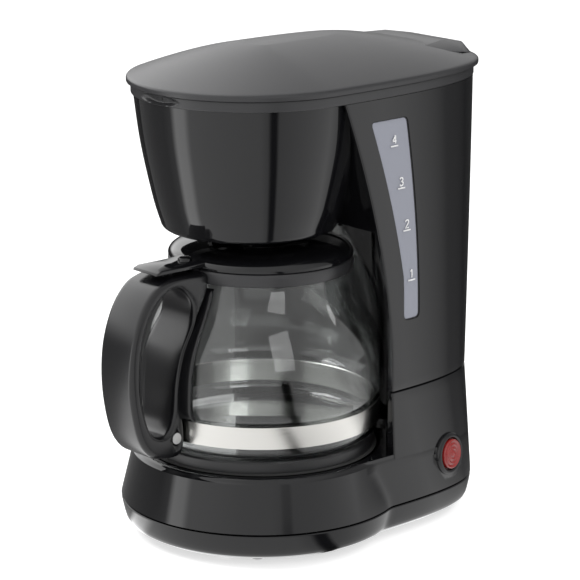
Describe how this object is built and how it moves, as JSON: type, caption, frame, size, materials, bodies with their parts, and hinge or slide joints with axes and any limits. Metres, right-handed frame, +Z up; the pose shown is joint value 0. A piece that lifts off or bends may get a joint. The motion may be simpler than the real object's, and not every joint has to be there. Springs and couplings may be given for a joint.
{
  "type": "drip coffee maker",
  "caption": "Drip coffee maker with a round brew head over a glass carafe on a warming plate, a water tank tower with a level window, a hinged lid and a lit push button.",
  "frame": {"origin": "on the table plane under the feet, below the middle of the machine's outline with the carafe in place", "axes": "+Z up; -Y towards the user, where the carafe's handle points; +X towards the side with the water gauge and the switch"},
  "size_m": [0.149, 0.226, 0.2608],
  "materials": {
    "black_gloss": "high gloss",
    "black_satin": "satin",
    "black_matte": "fine matt",
    "plate_coat": "non-stick coating",
    "black_rubber": "matt",
    "silicone": "translucent, smooth",
    "clear_glass": "clear, smooth",
    "band_steel": "brushed round",
    "zinc_steel": "zinc plated",
    "heater_alu": "drawn",
    "rod_steel": "dark sheath",
    "milky_plastic": "translucent",
    "smoked_window": "translucent, satin",
    "white_print": "printed",
    "red_clear": "translucent red",
    "lamp_red": "clear",
    "white_insulator": "satin",
    "lead_sleeve": "silicone sleeve"
  },
  "bodies": {
    "housing": {"base_shell": "black_gloss", "bottom_cover": "black_gloss", "tower_shell": "black_gloss", "brew_head": "black_gloss", "top_rim": "black_satin", "switch_bezel": "black_satin", "filter_basket": "black_matte", "filter_frame": "black_matte", "water_spout": "black_matte", "switch_body": "black_matte", "warming_plate": "plate_coat", "rubber_feet": "black_rubber", "plate_seal": "black_rubber", "window_seal": "black_rubber", "cord_bush": "black_rubber", "tank_hose": "silicone", "inlet_hose": "silicone", "riser_hose": "silicone", "filter_mesh": "band_steel", "cover_screws": "zinc_steel", "tower_screws": "zinc_steel", "head_screws": "zinc_steel", "hinge_pin": "zinc_steel", "clamp_nuts": "zinc_steel", "heater_clamp": "zinc_steel", "valve_spring": "zinc_steel", "switch_spring": "zinc_steel", "water_tube": "heater_alu", "thermostat": "heater_alu", "heating_rod": "rod_steel", "water_tank": "milky_plastic", "riser_pipe": "milky_plastic", "check_valve_body": "milky_plastic", "level_window": "smoked_window", "level_marks": "white_print", "switch_lamp": "lamp_red", "terminal_block": "white_insulator", "thermal_fuses": "white_insulator", "internal_leads": "lead_sleeve"},
    "carafe": {"carafe_glass": "clear_glass", "carafe_band": "band_steel", "carafe_collar": "black_satin", "carafe_handle": "black_gloss", "handle_screw": "zinc_steel", "carafe_lid_pin": "zinc_steel"},
    "carafe_cover": {"carafe_lid": "black_gloss"},
    "top_lid": {"lid": "black_satin"},
    "drip_stop": {"drip_valve": "milky_plastic", "valve_seal": "silicone"},
    "button": {"switch_button": "red_clear"},
    "ball": {"check_ball": "zinc_steel"}
  },
  "joints": [
    {"name": "lid_hinge", "type": "hinge", "parent": "housing", "child": "top_lid", "pos_m": [0, 0.1084, 0.2467], "axis": [-1, 0, 0], "range_deg": [0, 95]},
    {"name": "carafe_slide", "type": "slide", "parent": "housing", "child": "carafe", "axis": [0, -1, 0], "range_m": [0, 0.2]},
    {"name": "carafe_lid_hinge", "type": "hinge", "parent": "carafe", "child": "carafe_cover", "pos_m": [0, -0.0653, 0.1451], "axis": [1, 0, 0], "range_deg": [0, 2.5]},
    {"name": "drip_stop_slide", "type": "slide", "parent": "housing", "child": "drip_stop", "axis": [0, 0, -1], "range_m": [0, 0.003], "deforming": ["valve_spring"]},
    {"name": "switch_press", "type": "slide", "parent": "housing", "child": "button", "axis": [-0.9775, -0.1991, -0.0693], "range_m": [0, 0.0025], "stiffness_N_per_m": 400},
    {"name": "check_ball_lift", "type": "slide", "parent": "housing", "child": "ball", "axis": [0, 0, 1], "range_m": [0, 0.0029]}
  ],
  "couplings": [
    {"joint": "drip_stop_slide", "follows": "carafe_slide", "ratio": 0.015}
  ]
}
